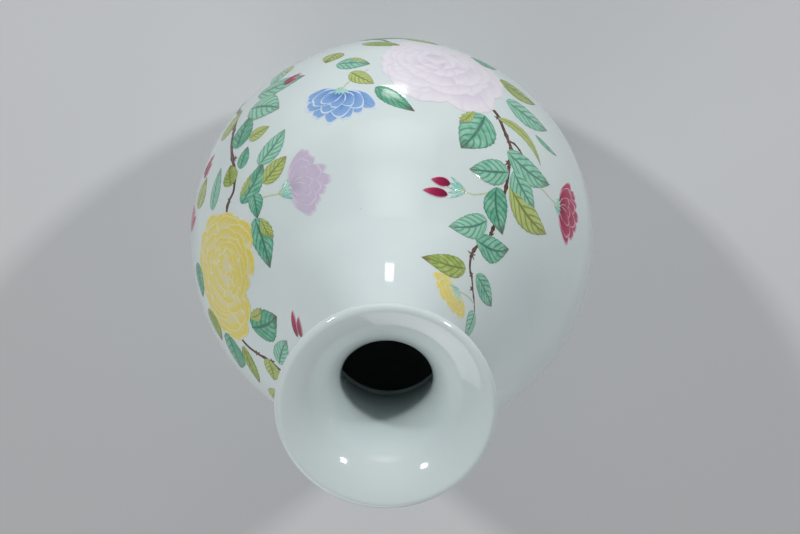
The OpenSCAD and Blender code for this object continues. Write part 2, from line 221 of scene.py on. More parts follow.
def foot_rim():
    """The bare ring the vase stands on, rounded at both edges."""
    inner, outer = FOOT_R - FOOT_WALL, FOOT_R
    return turned(
        "bare_foot_rim",
        [(outer, FOOT_H), (inner, FOOT_H)]
        + arc((inner + FOOT_ROUND, FOOT_ROUND), FOOT_ROUND, 180, 270, FOOT_STEP)
        + arc((outer - FOOT_ROUND, FOOT_ROUND), FOOT_ROUND, 270, 360, FOOT_STEP),
    )


# The glazed surface as the painter meets it: s runs up the section from the belly line
LOWER_G = LOWER_CURVE + GLAZE
UPPER_G = BELLY_CURVE + GLAZE
NECK_G = NECK_CURVE - GLAZE
SWING_RAD = math.radians(SWING)
SWING_S = UPPER_G * SWING_RAD


def length_up(h):
    """Length up the section to a height over the belly line."""
    if h < 0:
        return LOWER_G * math.asin(h / LOWER_G)
    if h < UPPER_G * math.sin(SWING_RAD):
        return UPPER_G * math.asin(h / UPPER_G)
    return SWING_S + NECK_G * (SWING_RAD - math.asin((NECK_RISE - h) / NECK_G))


def section(s):
    """Radius, level and tilt of the glazed outside at a length up the section."""
    if s < 0:
        tilt, centre, radius = s / LOWER_G, LOWER_C, LOWER_G
    elif s < SWING_S:
        tilt, centre, radius = s / UPPER_G, UPPER_C, UPPER_G
    else:
        tilt, centre, radius = SWING_RAD - (s - SWING_S) / NECK_G, NECK_C, -NECK_G
    return centre[0] + radius * math.cos(tilt), centre[1] + radius * math.sin(tilt), tilt


def on_glaze(azimuth, s, east, lift):
    """A point east mm to the right of an azimuth, lifted off the glaze, in metres."""
    r, z, tilt = section(s)
    angle = math.radians(azimuth) + east / r
    out = r + lift * math.cos(tilt)
    return Vector((out * math.sin(angle), -out * math.cos(angle), z + lift * math.sin(tilt))) * MM


# Brushwork

# Thickness of a stroke below its top, which ends inside the glaze
ENAMEL_DEPTH = 0.6
# Edges over the glaze: a twig lies lowest, a leaf over it, its turned edge over the leaf, a bud over both.
# The first petal of a flower lies as high as a leaf, and each one after it a step over the one before.
TWIG_LIFT = 0.03
LEAF_LIFT = 0.1
FOLD_LIFT = 0.04
BUD_LIFT = 0.3
PETAL_LIFT = 0.1
RING_STEP = 0.006
FAN_STEP = 0.008
# Rise of a stroke from its edge to its middle, and how flat its crown is
TWIG_RISE = 0.06
LEAF_RISE = 0.15
SEPAL_RISE = 0.22
CUP_RISE = 0.26
CROWN_POWER = 4
TWIG_CROWN = 0.8


def blank(name, across, along):
    """A flat grid from -1 to 1 both ways, with its own UV map, that a stroke is shaped from."""
    bpy.ops.object.select_all(action="DESELECT")
    bpy.ops.mesh.primitive_grid_add(x_subdivisions=across, y_subdivisions=along, size=2)
    grid = bpy.context.active_object
    grid.name = name
    return grid


LEAF_BLANK = blank("leaf_blank", across=14, along=32)
PETAL_BLANK = blank("petal_blank", across=20, along=16)
STROKE_BLANK = blank("stroke_blank", across=4, along=60)


def stroke(grid, place, tint):
    """A copy of a grid, each of its points moved to place(a, t), a across and t along."""
    mesh = grid.data.copy()
    for vertex in mesh.vertices:
        vertex.co = place(vertex.co.x, (vertex.co.y + 1) / 2)
    value = mesh.attributes.new("tint", "FLOAT", "POINT")
    value.data.foreach_set("value", [tint] * len(mesh.vertices))
    piece = bpy.data.objects.new("stroke", mesh)
    bpy.context.collection.objects.link(piece)
    return piece


def fired(name, strokes):
    """Strokes of one colour joined, given their thickness and rounded off."""
    bpy.ops.object.select_all(action="DESELECT")
    for piece in strokes:
        piece.select_set(True)
    bpy.context.view_layer.objects.active = strokes[0]
    bpy.ops.object.join()
    coat = bpy.context.active_object
    coat.name = name
    solid = coat.modifiers.new("thickness", "SOLIDIFY")
    solid.thickness = ENAMEL_DEPTH * MM
    solid.offset = -1
    bpy.ops.object.modifier_apply(modifier=solid.name)
    bpy.ops.object.shade_smooth_by_angle(angle=math.radians(SMOOTH_STROKE))
    return coat


def turned_flat(x, y, turn):
    """East and up of a flat point, turned from upright towards the east."""
    c, s = math.cos(math.radians(turn)), math.sin(math.radians(turn))
    return x * c + y * s, y * c - x * s


# Share of a leaf's width along it: a rounded base, widest before the middle, a drawn-out tip
LEAF_BASE = 0.62
LEAF_TIP = 0.95
LEAF_PEAK = LEAF_BASE / (LEAF_BASE + LEAF_TIP)
LEAF_TOP = LEAF_PEAK ** LEAF_BASE * (1 - LEAF_PEAK) ** LEAF_TIP
LEAF_LEAST = 0.02
# Teeth along each edge, how far they stand out as a share of the width, and how near the edge they stay
LEAF_TEETH = 9
TOOTH = 0.09
TOOTH_POWER = 8
# Steepness of a leaf's rise at its two ends
LEAF_SLOPE = 5
# A turned edge starts a little outside the leaf, and is this full towards its ends
FOLD_START = 1.04
FOLD_POWER = 0.6
# A petal widens early from its foot, and its corners are rounded off
PETAL_POWER = 0.8
PETAL_ROUND = 0.72
# Share of a line over which its direction is taken, then how often, from where and how briefly a twig swells
LINE_STEP = 0.02
SWELL_RATE = 23
SWELL_START = 5
SWELL_POWER = 8


def leaf_point(row, a, t, lift):
    """A point of a leaf, a across it from -1 to 1 and t along its bowed rib from stalk to tip."""
    azimuth, h, turn, length, width, bow = row
    share = max(LEAF_LEAST, t ** LEAF_BASE * (1 - t) ** LEAF_TIP / LEAF_TOP)
    tooth = 1 + TOOTH * math.fmod(t * LEAF_TEETH, 1) * abs(a) ** TOOTH_POWER
    x = a * width / 2 * share * tooth + bow * 4 * t * (1 - t)
    east, up = turned_flat(x, t * length, turn)
    return on_glaze(azimuth, length_up(h) + up, east, lift)


def leaf(row, rise=LEAF_RISE, lift=LEAF_LIFT, tint=0.5):
    """A leaf with a toothed edge, a little raised along its rib."""

    def place(a, t):
        crown = rise * (1 - a ** CROWN_POWER) * min(1, LEAF_SLOPE * t, LEAF_SLOPE * (1 - t))
        return leaf_point(row, a, t, lift + crown)

    return stroke(LEAF_BLANK, place, tint)


def fold(row, side, start, end, depth, tint):
    """A leaf's edge turned over, from one share of its length to another."""

    def place(a, t):
        inwards = (1 - a * side) / 2 * depth * math.sin(math.pi * t) ** FOLD_POWER
        crown = LEAF_RISE * (1 - (1 - inwards) ** CROWN_POWER)
        along_leaf = start + (end - start) * t
        return leaf_point(row, side * (FOLD_START - inwards), along_leaf, LEAF_LIFT + FOLD_LIFT + crown)

    return stroke(LEAF_BLANK, place, tint)


def petal(azimuth, s0, root, turn, length, width, lift, lobes, frill, foot, tint):
    """A petal from a flat root point: narrow at its foot, round at its end, with scalloped lobes."""

    def place(a, t):
        x = a * width / 2 * (foot + (1 - foot) * math.sin(math.pi / 2 * t) ** PETAL_POWER)
        scallop = abs(math.sin(lobes * math.pi * (a + 1) / 2)) - 1
        end = math.sqrt(1 - PETAL_ROUND * a * a) + frill * scallop
        east, up = turned_flat(x, t * length * end, turn)
        return on_glaze(azimuth, s0 + root[1] + up, root[0] + east, lift)

    return stroke(PETAL_BLANK, place, tint)


def along(points, share):
    """A smooth line through (azimuth, height) points: azimuth and length up the section."""
    path = [(azimuth, length_up(h)) for azimuth, h in points]
    path = [path[0]] + path + [path[-1]]
    whole = share * (len(path) - 3)
    i = min(int(whole), len(path) - 4)
    t = whole - i
    return tuple(
        0.5 * (2 * q + (r - p) * t + (2 * p - 5 * q + 4 * r - e) * t * t + (3 * q - p - 3 * r + e) * t ** 3)
        for p, q, r, e in zip(*path[i:i + 4])
    )


def twig(points, wide, narrow, swelling=0, tint=0.5):
    """A brush stroke along a line on the glaze, from wide to narrow, swollen here and there."""

    def place(a, t):
        azimuth, s = along(points, t)
        before, after = along(points, max(0, t - LINE_STEP)), along(points, min(1, t + LINE_STEP))
        east, up = math.radians(after[0] - before[0]) * section(s)[0], after[1] - before[1]
        size = math.hypot(east, up)
        swell = 1 + swelling * max(0, math.sin(t * SWELL_RATE + SWELL_START * tint)) ** SWELL_POWER
        half = a * (wide + (narrow - wide) * t) / 2 * swell
        crown = TWIG_RISE * (1 - TWIG_CROWN * a ** CROWN_POWER)
        return on_glaze(azimuth, s - half * east / size, half * up / size, TWIG_LIFT + crown)

    return stroke(STROKE_BLANK, place, tint)


# Painted rows: degrees round from the front, height over the belly line, turn from upright
# towards the east, length and width, and for a leaf the bow of its rib.
GREEN_LEAVES = [
    (49, 51, -111, 20, 10, 1.6), (62, 56, -105, 21, 10, 2.2), (55, 44, -129, 11, 7, -0.2),
    (53, 32, -137, 18, 13, 0.2), (45, 13, -38, 23, 15, -0.9), (56, 58, 30, 12, 8, -0.7),
    (62, 65, 31, 23, 12, -1.1), (72, 40, -122, 20, 8, 0.3), (106, 70, -21, 22, 15, 1.6),
    (111, 53, 114, 22, 13, -2.0), (124, 75, -34, 21, 9, -0.5), (91, 33, 84, 16, 12, -0.8),
    (42, 4, -67, 27, 12, 2.0), (17, 15, -70, 16, 10, -0.3), (6, 38, -49, 22, 8, 0.9),
    (-21, -7, -101, 14, 10, 2.0), (-33, 23, -102, 25, 13, 2.6), (-45, 30, -102, 15, 3, 1.1),
    (-28, 41, 12, 24, 17, -1.3), (-39, 51, -105, 27, 12, 3.2), (-44, 56, -77, 19, 12, 1.7),
    (-43, 58, 54, 19, 12, -0.9), (-42, 66, -47, 20, 12, 2.2), (-47, 77, 38, 20, 11, -2.0),
    (-48, 86, -129, 20, 11, 2.6), (-61, 96, -103, 18, 9, 0.7), (-79, 105, -32, 14, 9, -0.5),
    (141, 78, -40, 18, 12, 1.5), (157, 75, 150, 22, 11, -2.0), (166, 85, 30, 20, 12, 1.0),
    (172, 66, 100, 20, 10, -1.5), (10, -22, -110, 20, 10, 1.5), (27, -30, 95, 17, 9, -1.0),
    (4, -36, -150, 20, 10, 1.5), (33, -14, 20, 20, 11, -1.0), (54, -16, 120, 20, 9, 1.5),
    (40, -33, 160, 19, 9, -1.5),
]
LIME_LEAVES = [
    (61, 45, -151, 11, 10, -0.3), (51, 59, -100, 16, 9, 0.3), (48, 34, -72, 12, 7, 0.3),
    (77, 22, -100, 15, 12, 0.7), (104, 41, 86, 16, 12, -0.6), (115, 61, 114, 24, 7, -1.0),
    (121, 71, 123, 14, 8, -1.1), (13, 25, -41, 15, 8, 0.7), (10, -8, -67, 20, 8, -0.4),
    (16, 1, 37, 11, 10, 0.6), (-30, 7, -100, 21, 12, 2.6), (-32, 38, -80, 28, 5, -4.2),
    (-46, 62, -97, 29, 12, 4.0), (-53, 99, 59, 22, 11, -2.2), (58, 10, -112, 17, 12, -0.5),
    (137, 62, 170, 15, 7, 1.0), (153, 88, -20, 17, 8, -1.0), (181, 80, 60, 17, 8, 1.0),
    (-2, -24, -60, 18, 8, 1.0), (36, -38, -170, 17, 8, -1.0),
]
# Turned edges: which green leaf, its side, the shares of its length between which it turns, and how deep
FOLDS = [
    (1, -1, 0.12, 0.62, 0.7), (6, -1, 0.06, 0.52, 0.95), (8, -1, 0.1, 0.55, 0.7),
    (13, -1, 0.3, 0.95, 0.6), (18, 1, 0.08, 0.5, 0.5), (27, 1, 0.2, 0.7, 0.7), (34, -1, 0.15, 0.6, 0.7),
]
FOLD_TINT = 0.2
# Twigs: points on the glaze, with the width at each end
TWIGS = [
    ([(29, -75), (30, -62), (33, -50), (40, -37), (47, -23), (51, -10), (50, 2), (52, 16)], 3.2, 1.9),
    ([(52, 16), (54, 24), (56, 35), (57, 41), (61, 48), (66, 49), (70, 52)], 1.9, 1.3),
    ([(30, -60), (25, -49), (16, -38), (11, -28), (5, -16), (2, -6)], 2.2, 1.2),
    ([(108, 60), (114, 63), (118, 67), (122, 71), (127, 73), (134, 74), (146, 77), (161, 80), (178, 82)],
     1.7, 1.0),
    ([(-30, 35), (-32, 37), (-35, 42), (-38, 46), (-40, 49), (-42, 56)], 1.7, 1.5),
    ([(-42, 56), (-45, 63), (-48, 70), (-51, 76), (-53, 81)], 1.5, 1.3),
    ([(-38, 46), (-40, 45), (-43, 46), (-46, 48)], 1.1, 0.8),
    ([(-53, 81), (-51, 86), (-51, 92), (-55, 97), (-60, 99), (-67, 102), (-75, 104), (-80, 105)], 1.4, 0.7),
]
TWIG_SWELLING = 0.6
# Knots on the twigs, where short spurs stand out all round: place and reach
KNOTS = [
    (-51, 92, 2.6), (-53, 80, 2.2), (-38, 46, 1.8), (-41, 55, 1.8), (-32, 38, 2.0), (-59, 98.5, 1.7),
    (-65, 102, 2.0), (118, 67, 2.2), (122, 72, 2.0), (55, 36, 2.0), (65, 49, 1.8), (52, 14, 2.0),
    (50, -13, 2.4), (31, -58, 3.0), (146, 77, 2.0), (161, 80, 1.8), (15, -36, 2.2), (40, -37, 2.4),
]
KNOT_SPURS = 5
SPUR_WIDE, SPUR_NARROW = 1.0, 0.35
SPUR_STRAY = 0.2
SPUR_REACH = (0.6, 1)
STEMS = [
    [(58, 61), (54, 63), (51, 65), (48, 67)], [(-42, 68), (-40, 70), (-36, 73), (-32, 74)],
    [(-53, 52), (-57, 50), (-60, 49), (-64, 47)], [(-75, 104), (-68, 106), (-59, 110)],
    [(149, 78), (150, 72), (151, 67)], [(8, 25), (13, 31), (16, 36)],
]
STEM_WIDE, STEM_NARROW = 0.8, 0.6
# Calyxes: narrow sepals spread to the width, the outer ones longer, over a round cup a little below
CALYXES = [
    (48, 67, -71, 7, 12), (16, 35, 20, 5, 11), (-32, 74, 74, 8, 12), (-63, 48, -138, 5, 11),
    (-58, 110, 8, 5, 12), (151, 67, 165, 6, 11),
]
SEPALS = 5
SEPAL_WIDTH = 1.7
SEPAL_STRETCH = 0.8
CUP_SIZE = 2.6
CUP_DROP = 0.5
CUP_TINT = 0.8
# Full flowers are ovals of a width and a depth, with the heart's place off their middle. Their rings run
# from the rim inwards: petals, reach, and length of a petal, both as shares of the flower's radius.
FULL_YELLOW, YELLOW_HEART = (89, 56, 0, 64, 46), (-7, 3)
YELLOW_RINGS = [
    (15, 1.0, 0.5), (13, 0.84, 0.5), (11, 0.67, 0.46), (9, 0.5, 0.42), (7, 0.33, 0.36), (4, 0.16, 0.3),
]
FULL_PINK, PINK_HEART = (-13, 18, 0, 63, 60), (5, -7)
PINK_RINGS = [
    (12, 1.0, 0.56), (10, 0.82, 0.56), (8, 0.64, 0.52), (7, 0.47, 0.46), (5, 0.31, 0.4), (4, 0.16, 0.3),
]
# Petals of a ring: overlap, share of the width at the foot, and how far each strays from an even ring
RING_OVERLAP = 1.5
RING_FOOT = 0.3
RING_STRAY = 0.25
RING_REACH = (0.9, 1.03)
RING_LEAN = 14
RING_WIDTH = (0.85, 1.2)
RING_LOBES = (1, 2, 3)
RING_FRILL = (0.04, 0.1)
# Side-on flowers have degrees to either side instead of a width. Their rows run from the back to the
# front: petals, reach, share of the spread, and overlap.
SIDE_YELLOW = (-56, 112, 4, 13, 74)
SIDE_LILAC = (42, 68, -70, 18, 66)
SIDE_BLUE = (16, 38, 27, 18, 72)
SIDE_RUBY = [(-65, 46, -134, 18, 58), (86, 13, -100, 13, 50), (153, 62, 165, 14, 55)]
FAN_ROWS = [(7, 1.0, 1.0, 1.5), (4, 0.82, 0.78, 1.5), (3, 0.56, 0.6, 1.4)]
# Petals of a fan: share of the width at the foot, and how far each strays from an even fan
FAN_FOOT = 0.25
FAN_LEAN = 4
FAN_REACH = (0.92, 1.06)
FAN_LOBES = (1, 2)
FAN_FRILL = 0.07
# Buds, and their two furled petals: place across the bud, share of its length, and tint
RUBY_BUDS = [
    (-25, 76.3, 82, 11, 7.5), (33, 12.5, -92, 9, 5), (103, 101, -102, 12, 7.5), (69, 13.5, -82, 11, 6),
]
BUD_PETALS = [(-0.26, 1, 0.3), (0.26, 0.78, 0.7)]
BUD_PETAL_WIDTH = 0.6
BUD_SPLAY = 8

# Chances for twigs, knots and leaves, drawn in the order in which these are painted
dice = random.Random(7)


def leaves(rows):
    """Leaves of one green, each a little lighter or darker."""
    return [leaf(row, tint=dice.random()) for row in rows]


def knot(azimuth, h, size):
    """Short spurs standing out all round a joint of a twig."""
    r, start, spurs = section(length_up(h))[0], dice.uniform(0, 360), []
    for i in range(KNOT_SPURS):
        a = math.radians(start + 360 * (i + dice.uniform(-SPUR_STRAY, SPUR_STRAY)) / KNOT_SPURS)
        far = size * dice.uniform(*SPUR_REACH)
        end = (azimuth + math.degrees(far * math.sin(a) / r), h + far * math.cos(a))
        spurs.append(twig([(azimuth, h), end], SPUR_WIDE, SPUR_NARROW, tint=dice.random()))
    return spurs


def full_flower(row, rings, heart, seed):
    """A full-blown flower: rings of petals from the rim to a heart that lies off its middle."""
    azimuth, h, turn, width, depth = row
    own = random.Random(seed)
    s0, petals, lift = length_up(h), [], PETAL_LIFT
    for count, reach, size in rings:
        offset = own.uniform(0, 360)
        middle = Vector(heart) * (1 - reach)
        length = size * min(width, depth) / 2
        for i in range(count):
            a = math.radians(offset + 360 * (i + own.uniform(-RING_STRAY, RING_STRAY)) / count)
            edge = Vector((math.sin(a) * width / 2, math.cos(a) * depth / 2))
            tip = edge * reach * own.uniform(*RING_REACH)
            way = math.degrees(math.atan2(tip.x, tip.y)) + own.uniform(-RING_LEAN, RING_LEAN)
            root = middle + tip - Vector(turned_flat(0, length, way))
            broad = RING_OVERLAP * own.uniform(*RING_WIDTH) * 2 * math.pi * tip.length / count
            petals.append(petal(
                azimuth, s0, turned_flat(root.x, root.y, turn), turn + way, length, broad, lift,
                lobes=own.choice(RING_LOBES), frill=own.uniform(*RING_FRILL), foot=RING_FOOT,
                tint=own.random()))
            lift += RING_STEP
    return petals


def side_flower(row, seed):
    """A flower seen from the side, its petals fanned out from the calyx."""
    azimuth, h, turn, length, spread = row
    own = random.Random(seed)
    s0, petals, lift = length_up(h), [], PETAL_LIFT
    for count, reach, fan, overlap in FAN_ROWS:
        for i in range(count):
            lean = spread * fan * (2 * i / (count - 1) - 1) + own.uniform(-FAN_LEAN, FAN_LEAN)
            far = length * reach * own.uniform(*FAN_REACH)
            broad = overlap * far * math.radians(2 * spread * fan) / count
            petals.append(petal(
                azimuth, s0, (0, 0), turn + lean, far, broad, lift,
                lobes=own.choice(FAN_LOBES), frill=FAN_FRILL, foot=FAN_FOOT, tint=own.random()))
            lift += FAN_STEP
    return petals


def bud(row):
    """Two furled petals side by side, one of them shorter."""
    azimuth, h, turn, length, width = row
    petals = []
    for side, share, tint in BUD_PETALS:
        east, up = turned_flat(side * width, 0, turn)
        start = azimuth + math.degrees(east / section(length_up(h))[0])
        furled = (start, h + up, turn + BUD_SPLAY * side, length * share, width * BUD_PETAL_WIDTH, 0)
        petals.append(leaf(furled, lift=BUD_LIFT, tint=tint))
    return petals


def calyx(row):
    """Narrow sepals spread from the stem."""
    azimuth, h, turn, length, width = row
    fan = math.degrees(math.atan2(width / 2, length))
    sepals = []
    for i in range(SEPALS):
        lean = fan * (2 * i / (SEPALS - 1) - 1)
        far = length / math.cos(math.radians(SEPAL_STRETCH * lean))
        sepals.append(leaf((azimuth, h, turn + lean, far, SEPAL_WIDTH, 0), rise=SEPAL_RISE, tint=i / SEPALS))
    return sepals


def cup(row):
    """The round receptacle under a calyx."""
    azimuth, h, turn = row[:3]
    foot = h - CUP_DROP * math.cos(math.radians(turn))
    return leaf((azimuth, foot, turn, CUP_SIZE, CUP_SIZE, 0), rise=CUP_RISE, tint=CUP_TINT)


# Materials

# A MapRange node carries a value (0) from one range (1, 2) to another (3, 4), or else to 0 to 1.
# A Mix node goes by a share (0) from one colour (6) to another (7), and its colour is the third output.
SMOOTH = {"interpolation_type": "SMOOTHSTEP"}
COLOUR = {"data_type": "RGBA"}


def linear(code):
    """A colour's linear values from its sRGB hex code."""
    parts = [int(code[i:i + 2], 16) / 255 for i in (1, 3, 5)]
    return [c / 12.92 if c <= 0.04045 else ((c + 0.055) / 1.055) ** 2.4 for c in parts] + [1]


def per_mm(size):
    """Scale of a pattern whose features are about this many millimetres across."""
    return 1 / (size * MM)


def add(tree, kind, sockets=None, **settings):
    """Adds one shader node with its settings, and with values or links on its sockets. Gives its outputs."""
    node = tree.nodes.new("ShaderNode" + kind)
    for name, value in settings.items():
        setattr(node, name, value)
    for key, value in (sockets or {}).items():
        if isinstance(value, bpy.types.NodeSocket):
            tree.links.new(value, node.inputs[key])
        else:
            node.inputs[key].default_value = value
    return node.outputs


def surface(name, **values):
    """A new material with its shader's own values set."""
    material = bpy.data.materials.new(name)
    material.use_nodes = True
    shader = material.node_tree.nodes["Principled BSDF"]
    for key, value in values.items():
        shader.inputs[key].default_value = value
    return material, material.node_tree, shader


def glazed_porcelain():
    """Clear feldspar glaze over white porcelain, fired glossy: a cool white with a faint blue-green cast,
    pooled a little deeper in places, with a soft ripple and a few iron specks."""
    material, tree, shader = surface("clear_glaze_on_porcelain", Roughness=0.07, IOR=1.5)
    place = add(tree, "TexCoord")["Object"]
    pools = add(tree, "TexNoise", {"Vector": place, "Scale": per_mm(38), "Detail": 3})[0]
    pooled = add(tree, "MapRange", {0: pools, 1: 0.3, 2: 0.7}, **SMOOTH)[0]
    white = add(tree, "Mix", {0: pooled, 6: linear("#DBE6E5"), 7: linear("#D6E2E3")}, **COLOUR)[2]
    specks = add(tree, "TexVoronoi", {"Vector": place, "Scale": per_mm(9)})["Distance"]
    speck = add(tree, "MapRange", {0: specks, 1: 0.018, 2: 0.03, 3: 0.55, 4: 0}, **SMOOTH)[0]
    colour = add(tree, "Mix", {0: speck, 6: white, 7: linear("#8C8478")}, **COLOUR)[2]
    tree.links.new(colour, shader.inputs["Base Color"])

    broad = add(tree, "TexNoise", {"Vector": place, "Scale": per_mm(14), "Detail": 1})[0]
    fine = add(tree, "TexNoise", {"Vector": place, "Scale": per_mm(2.5), "Detail": 1})[0]
    fine = add(tree, "Math", {0: fine, 1: 0.3}, operation="MULTIPLY")[0]
    ripple = add(tree, "Math", {0: broad, 1: 0.7, 2: fine}, operation="MULTIPLY_ADD")[0]
    bump = add(tree, "Bump", {"Height": ripple, "Distance": 0.05 * MM, "Strength": 0.5})[0]
    tree.links.new(bump, shader.inputs["Normal"])
    return material


def bare_porcelain(name, light, dark, grain):
    """Unglazed porcelain from the kiln: matt, chalky, a little warm, with fine grit that is drawn coarser
    than it is, so that it shows."""
    material, tree, shader = surface(name, Roughness=0.75)
    place = add(tree, "TexCoord")["Object"]
    grit = add(tree, "TexNoise", {"Vector": place, "Scale": per_mm(grain), "Detail": 6})[0]
    grains = add(tree, "MapRange", {0: grit, 1: 0.35, 2: 0.7}, **SMOOTH)[0]
    colour = add(tree, "Mix", {0: grains, 6: linear(light), 7: linear(dark)}, **COLOUR)[2]
    tree.links.new(colour, shader.inputs["Base Color"])
    bump = add(tree, "Bump", {"Height": grit, "Distance": 0.08 * MM, "Strength": 0.6})[0]
    tree.links.new(bump, shader.inputs["Normal"])
    return material


def brush_way(tree):
    """Place on a stroke: across it from -1 to 1, distance from its middle line, and the way along it."""
    uv = add(tree, "UVMap", uv_map="UVMap")[0]
    ways = add(tree, "SeparateXYZ", {0: uv})
    across = add(tree, "Math", {0: ways[0], 1: 2, 2: -1}, operation="MULTIPLY_ADD")[0]
    return across, add(tree, "Math", {0: across}, operation="ABSOLUTE")[0], ways[1]


def leaf_enamel(name, wash, thin, vein, tip, veins=6, slant=1.7):
    """Translucent enamel floated over fine dark veins: deeper where it lies thick, thin and pale in places,
    with a brown touch at the leaf's tip."""
    material, tree, shader = surface(name, Roughness=0.14, IOR=1.52)
    place = add(tree, "TexCoord")["Object"]
    across, from_rib, along_leaf = brush_way(tree)
    tint = add(tree, "Attribute", attribute_name="tint")["Fac"]

    cloud = add(tree, "TexNoise", {"Vector": place, "Scale": per_mm(3.2), "Detail": 3})[0]
    load = add(tree, "Math", {0: tint, 1: 0.5, 2: -0.28}, operation="MULTIPLY_ADD")[0]
    load = add(tree, "Math", {0: cloud, 1: 0.9, 2: load}, operation="MULTIPLY_ADD")[0]
    thick = add(tree, "MapRange", {0: load, 1: 0.2, 2: 0.75}, **SMOOTH)[0]
    colour = add(tree, "Mix", {0: thick, 6: linear(thin), 7: linear(wash)}, **COLOUR)[2]

    # Veins slant forward from the rib, and those of the two halves alternate
    count = add(tree, "Math", {0: along_leaf, 1: veins}, operation="MULTIPLY")[0]
    forward = add(tree, "Math", {0: from_rib, 1: 1.4}, operation="POWER")[0]
    forward = add(tree, "Math", {0: forward, 1: slant}, operation="MULTIPLY")[0]
    count = add(tree, "Math", {0: count, 1: forward}, operation="SUBTRACT")[0]
    half = add(tree, "Math", {0: across, 1: 0}, operation="GREATER_THAN")[0]
    count = add(tree, "Math", {0: half, 1: 0.4, 2: count}, operation="MULTIPLY_ADD")[0]
    from_vein = add(tree, "Math", {0: count, 1: 0.5}, operation="PINGPONG")[0]
    lines = add(tree, "MapRange", {0: from_vein, 1: 0.03, 2: 0.26, 3: 0.55, 4: 0}, **SMOOTH)[0]
    rib = add(tree, "MapRange", {0: from_rib, 1: 0.03, 2: 0.17, 3: 0.75, 4: 0}, **SMOOTH)[0]
    edge = add(tree, "MapRange", {0: from_rib, 1: 0.84, 2: 0.99, 3: 0, 4: 0.45}, **SMOOTH)[0]
    drawn = add(tree, "Math", {0: lines, 1: rib}, operation="MAXIMUM")[0]
    drawn = add(tree, "Math", {0: drawn, 1: edge}, operation="MAXIMUM")[0]
    colour = add(tree, "Mix", {0: drawn, 6: colour, 7: linear(vein)}, **COLOUR)[2]

    end = add(tree, "MapRange", {0: along_leaf, 1: 0.72, 2: 1}, **SMOOTH)[0]
    touch = add(tree, "Math", {0: tint, 1: 0.6, 2: 0.3}, operation="MULTIPLY_ADD")[0]
    touch = add(tree, "Math", {0: end, 1: touch}, operation="MULTIPLY")[0]
    colour = add(tree, "Mix", {0: touch, 6: colour, 7: linear(tip)}, **COLOUR)[2]
    tree.links.new(colour, shader.inputs["Base Color"])

    skin = add(tree, "TexNoise", {"Vector": place, "Scale": per_mm(1.6), "Detail": 3})[0]
    bump = add(tree, "Bump", {"Height": skin, "Distance": 0.05 * MM, "Strength": 0.4})[0]
    tree.links.new(bump, shader.inputs["Normal"])
    return material


# Streaks of the brush's hairs across a petal and along it, and the shift that makes them each petal's own
BRUSH_HAIRS = (9, 1.2, 1)
HAIR_SHIFT = 37


def petal_enamel(name, heart, body, rim, line, outline=0.5, streak=0.35):
    """Opaque enamel shaded with white: deeper towards the petal's foot, streaked along it by the brush,
    with a drawn edge."""
    material, tree, shader = surface(name, Roughness=0.16, IOR=1.52)
    from_middle, along_petal = brush_way(tree)[1:]
    deep = add(tree, "MapRange", {0: along_petal, 1: 0.1, 2: 0.75}, **SMOOTH)[0]
    colour = add(tree, "Mix", {0: deep, 6: linear(heart), 7: linear(body)}, **COLOUR)[2]
    tip = add(tree, "MapRange", {0: along_petal, 1: 0.55, 2: 0.95}, **SMOOTH)[0]
    colour = add(tree, "Mix", {0: tip, 6: colour, 7: linear(rim)}, **COLOUR)[2]

    uv = add(tree, "UVMap", uv_map="UVMap")[0]
    hairs = add(tree, "VectorMath", {0: uv, 1: BRUSH_HAIRS}, operation="MULTIPLY")[0]
    tint = add(tree, "Attribute", attribute_name="tint")["Fac"]
    own = add(tree, "Math", {0: tint, 1: HAIR_SHIFT}, operation="MULTIPLY")[0]
    own = add(tree, "CombineXYZ", {0: own})[0]
    hairs = add(tree, "VectorMath", {0: hairs, 1: own})[0]
    hairs = add(tree, "TexNoise", {"Vector": hairs, "Scale": 1, "Detail": 2})[0]
    streaks = add(tree, "MapRange", {0: hairs, 1: 0.45, 2: 0.7}, **SMOOTH)[0]
    streaks = add(tree, "Math", {0: streaks, 1: streak}, operation="MULTIPLY")[0]
    colour = add(tree, "Mix", {0: streaks, 6: colour, 7: linear(heart)}, **COLOUR)[2]

    sides = add(tree, "MapRange", {0: from_middle, 1: 0.86, 2: 0.96}, **SMOOTH)[0]
    end = add(tree, "MapRange", {0: along_petal, 1: 0.91, 2: 0.97}, **SMOOTH)[0]
    edge = add(tree, "Math", {0: sides, 1: end}, operation="MAXIMUM")[0]
    edge = add(tree, "Math", {0: edge, 1: outline}, operation="MULTIPLY")[0]
    colour = add(tree, "Mix", {0: edge, 6: colour, 7: linear(line)}, **COLOUR)[2]
    tree.links.new(colour, shader.inputs["Base Color"])

    place = add(tree, "TexCoord")["Object"]
    skin = add(tree, "TexNoise", {"Vector": place, "Scale": per_mm(1.8), "Detail": 3})[0]
    bump = add(tree, "Bump", {"Height": skin, "Distance": 0.05 * MM, "Strength": 0.4})[0]
    tree.links.new(bump, shader.inputs["Normal"])
    return material


